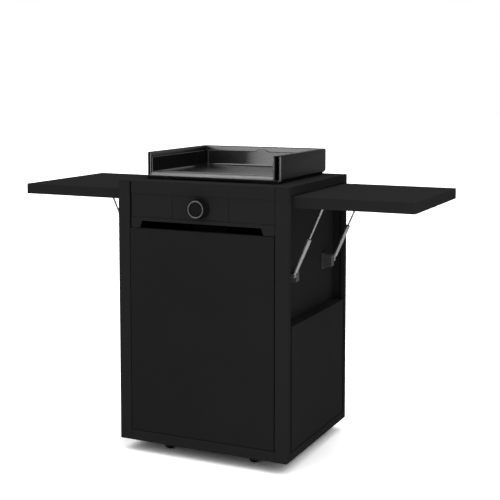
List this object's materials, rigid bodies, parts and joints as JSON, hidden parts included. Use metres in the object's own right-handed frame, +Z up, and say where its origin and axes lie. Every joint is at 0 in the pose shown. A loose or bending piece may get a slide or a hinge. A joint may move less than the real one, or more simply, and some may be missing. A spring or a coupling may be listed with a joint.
{
  "type": "electric griddle on cart",
  "caption": "Electric griddle built into a closed black metal cart with a door, castors and fold-down side shelves on gas struts.",
  "frame": {"origin": "on the floor, under the middle of the cart's overall box", "axes": "+X to the right of someone facing the door and along the spread shelves, +Y to the back, +Z up"},
  "size_m": [1.337, 0.538, 0.9594],
  "materials": {
    "body_paint": "satin black powder coat with a fine texture",
    "inner_paint": "matt black powder coat",
    "enamel": "glossy black enamel",
    "guard_paint": "satin black enamel",
    "zinc_steel": "zinc-plated steel",
    "bright_steel": "polished steel",
    "strut_tube": "satin light-grey metal",
    "black_plastic": "black moulded plastic",
    "grey_plastic": "dark grey moulded plastic",
    "knob_ring": "dark satin metal",
    "ceramic": "pale ceramic and moulded plastic",
    "copper": "dull copper",
    "tread": "black rubber",
    "red_plastic": "red moulded plastic"
  },
  "bodies": {
    "cart": {"base_tray": "body_paint", "front_posts": "body_paint", "rear_posts": "body_paint", "side_panel_left": "body_paint", "side_panel_right": "body_paint", "back_panel": "body_paint", "worktop": "body_paint", "grip_rail": "body_paint", "fascia_left": "body_paint", "fascia_right": "body_paint", "inner_shelf": "inner_paint", "shelf_hinges": "zinc_steel", "strut_brackets": "grey_plastic", "door_pivots": "zinc_steel", "door_magnet": "black_plastic", "castor_plates": "zinc_steel", "cord_gland": "black_plastic", "back_screws": "zinc_steel", "griddle_housing": "inner_paint", "control_panel": "body_paint", "reflector_tray": "bright_steel", "heating_element": "zinc_steel", "thermostat": "ceramic", "sensor_bulb": "copper", "terminal_block": "ceramic", "cup_runners": "inner_paint"},
    "cooking_plate": {"cooking_plate": "enamel", "drain_spout": "zinc_steel"},
    "splash_guard": {"splash_guard": "guard_paint"},
    "drip_cup": {"drip_cup": "inner_paint"},
    "knob": {"knob_dial": "black_plastic", "knob_ring": "knob_ring", "knob_spindle": "bright_steel"},
    "door": {"door_skin": "body_paint", "door_liner": "inner_paint", "door_bushes": "ceramic", "door_strike": "zinc_steel"},
    "shelf_left": {"shelf_left": "body_paint", "shelf_fittings_left": "zinc_steel"},
    "shelf_right": {"shelf_right": "body_paint", "shelf_fittings_right": "zinc_steel"},
    "strut_tube_left_front": {"strut_tube_left_front": "strut_tube"},
    "strut_rod_left_front": {"strut_rod_left_front": "bright_steel"},
    "strut_tube_left_rear": {"strut_tube_left_rear": "strut_tube"},
    "strut_rod_left_rear": {"strut_rod_left_rear": "bright_steel"},
    "strut_tube_right_front": {"strut_tube_right_front": "strut_tube"},
    "strut_rod_right_front": {"strut_rod_right_front": "bright_steel"},
    "strut_tube_right_rear": {"strut_tube_right_rear": "strut_tube"},
    "strut_rod_right_rear": {"strut_rod_right_rear": "bright_steel"},
    "castor_front_left": {"castor_fork_front_left": "zinc_steel"},
    "wheel_front_left": {"castor_wheel_front_left": "tread"},
    "brake_pedal_left": {"brake_pedal_left": "red_plastic"},
    "castor_front_right": {"castor_fork_front_right": "zinc_steel"},
    "wheel_front_right": {"castor_wheel_front_right": "tread"},
    "brake_pedal_right": {"brake_pedal_right": "red_plastic"},
    "castor_rear_left": {"castor_fork_rear_left": "zinc_steel"},
    "wheel_rear_left": {"castor_wheel_rear_left": "tread"},
    "castor_rear_right": {"castor_fork_rear_right": "zinc_steel"},
    "wheel_rear_right": {"castor_wheel_rear_right": "tread"}
  },
  "joints": [
    {"name": "plate_lift", "type": "slide", "parent": "cart", "child": "cooking_plate", "axis": [0, 0, 1], "range_m": [0, 0.15]},
    {"name": "guard_lift", "type": "slide", "parent": "cooking_plate", "child": "splash_guard", "axis": [0, 0, 1], "range_m": [0, 0.1]},
    {"name": "cup_slide", "type": "slide", "parent": "cart", "child": "drip_cup", "axis": [0, -1, 0], "range_m": [0, 0.03]},
    {"name": "knob_turn", "type": "hinge", "parent": "cart", "child": "knob", "pos_m": [0, -0.239, 0.7965], "axis": [0, 1, 0], "range_deg": [0, 270]},
    {"name": "door_swing", "type": "hinge", "parent": "cart", "child": "door", "pos_m": [-0.2346, -0.2314, 0.398], "axis": [0, 0, -1], "range_deg": [0, 105]},
    {"name": "shelf_fold_left", "type": "hinge", "parent": "cart", "child": "shelf_left", "pos_m": [-0.2875, 0.021, 0.84], "axis": [0, -1, 0], "range_deg": [0, 90]},
    {"name": "strut_swing_left_front", "type": "hinge", "parent": "cart", "child": "strut_tube_left_front", "pos_m": [-0.2725, -0.149, 0.5945], "axis": [0, 1, 0], "range_deg": [0, 25.28]},
    {"name": "strut_slide_left_front", "type": "slide", "parent": "strut_tube_left_front", "child": "strut_rod_left_front", "axis": [-0.4091, 0, 0.9125], "range_m": [-0.09089, 0]},
    {"name": "strut_swing_left_rear", "type": "hinge", "parent": "cart", "child": "strut_tube_left_rear", "pos_m": [-0.2725, 0.191, 0.5945], "axis": [0, 1, 0], "range_deg": [0, 25.28]},
    {"name": "strut_slide_left_rear", "type": "slide", "parent": "strut_tube_left_rear", "child": "strut_rod_left_rear", "axis": [-0.4091, 0, 0.9125], "range_m": [-0.09089, 0]},
    {"name": "shelf_fold_right", "type": "hinge", "parent": "cart", "child": "shelf_right", "pos_m": [0.2875, 0.021, 0.84], "axis": [0, 1, 0], "range_deg": [0, 90]},
    {"name": "strut_swing_right_front", "type": "hinge", "parent": "cart", "child": "strut_tube_right_front", "pos_m": [0.2725, -0.149, 0.5945], "axis": [0, -1, 0], "range_deg": [0, 25.28]},
    {"name": "strut_slide_right_front", "type": "slide", "parent": "strut_tube_right_front", "child": "strut_rod_right_front", "axis": [0.4091, 0, 0.9125], "range_m": [-0.09089, 0]},
    {"name": "strut_swing_right_rear", "type": "hinge", "parent": "cart", "child": "strut_tube_right_rear", "pos_m": [0.2725, 0.191, 0.5945], "axis": [0, -1, 0], "range_deg": [0, 25.28]},
    {"name": "strut_slide_right_rear", "type": "slide", "parent": "strut_tube_right_rear", "child": "strut_rod_right_rear", "axis": [0.4091, 0, 0.9125], "range_m": [-0.09089, 0]},
    {"name": "castor_swivel_front_left", "type": "hinge", "parent": "cart", "child": "castor_front_left", "pos_m": [-0.15, -0.144, 0.062], "axis": [0, 0, 1], "continuous": true},
    {"name": "wheel_spin_front_left", "type": "hinge", "parent": "castor_front_left", "child": "wheel_front_left", "pos_m": [-0.15, -0.164, 0.025], "axis": [1, 0, 0], "continuous": true},
    {"name": "brake_press_left", "type": "hinge", "parent": "castor_front_left", "child": "brake_pedal_left", "pos_m": [-0.15, -0.178, 0.052], "axis": [1, 0, 0], "range_deg": [0, 8]},
    {"name": "castor_swivel_front_right", "type": "hinge", "parent": "cart", "child": "castor_front_right", "pos_m": [0.15, -0.144, 0.062], "axis": [0, 0, 1], "continuous": true},
    {"name": "wheel_spin_front_right", "type": "hinge", "parent": "castor_front_right", "child": "wheel_front_right", "pos_m": [0.15, -0.164, 0.025], "axis": [1, 0, 0], "continuous": true},
    {"name": "brake_press_right", "type": "hinge", "parent": "castor_front_right", "child": "brake_pedal_right", "pos_m": [0.15, -0.178, 0.052], "axis": [1, 0, 0], "range_deg": [0, 8]},
    {"name": "castor_swivel_rear_left", "type": "hinge", "parent": "cart", "child": "castor_rear_left", "pos_m": [-0.15, 0.174, 0.062], "axis": [0, 0, 1], "continuous": true},
    {"name": "wheel_spin_rear_left", "type": "hinge", "parent": "castor_rear_left", "child": "wheel_rear_left", "pos_m": [-0.15, 0.154, 0.025], "axis": [1, 0, 0], "continuous": true},
    {"name": "castor_swivel_rear_right", "type": "hinge", "parent": "cart", "child": "castor_rear_right", "pos_m": [0.15, 0.174, 0.062], "axis": [0, 0, 1], "continuous": true},
    {"name": "wheel_spin_rear_right", "type": "hinge", "parent": "castor_rear_right", "child": "wheel_rear_right", "pos_m": [0.15, 0.154, 0.025], "axis": [1, 0, 0], "continuous": true}
  ],
  "couplings": [
    {"joint": "strut_swing_left_front", "follows": "shelf_fold_left", "ratio": 0.28037},
    {"joint": "strut_slide_left_front", "follows": "shelf_fold_left", "m_per_rad": -0.057799},
    {"joint": "strut_swing_left_rear", "follows": "shelf_fold_left", "ratio": 0.28037},
    {"joint": "strut_slide_left_rear", "follows": "shelf_fold_left", "m_per_rad": -0.057799},
    {"joint": "strut_swing_right_front", "follows": "shelf_fold_right", "ratio": 0.28037},
    {"joint": "strut_slide_right_front", "follows": "shelf_fold_right", "m_per_rad": -0.057799},
    {"joint": "strut_swing_right_rear", "follows": "shelf_fold_right", "ratio": 0.28037},
    {"joint": "strut_slide_right_rear", "follows": "shelf_fold_right", "m_per_rad": -0.057799}
  ]
}
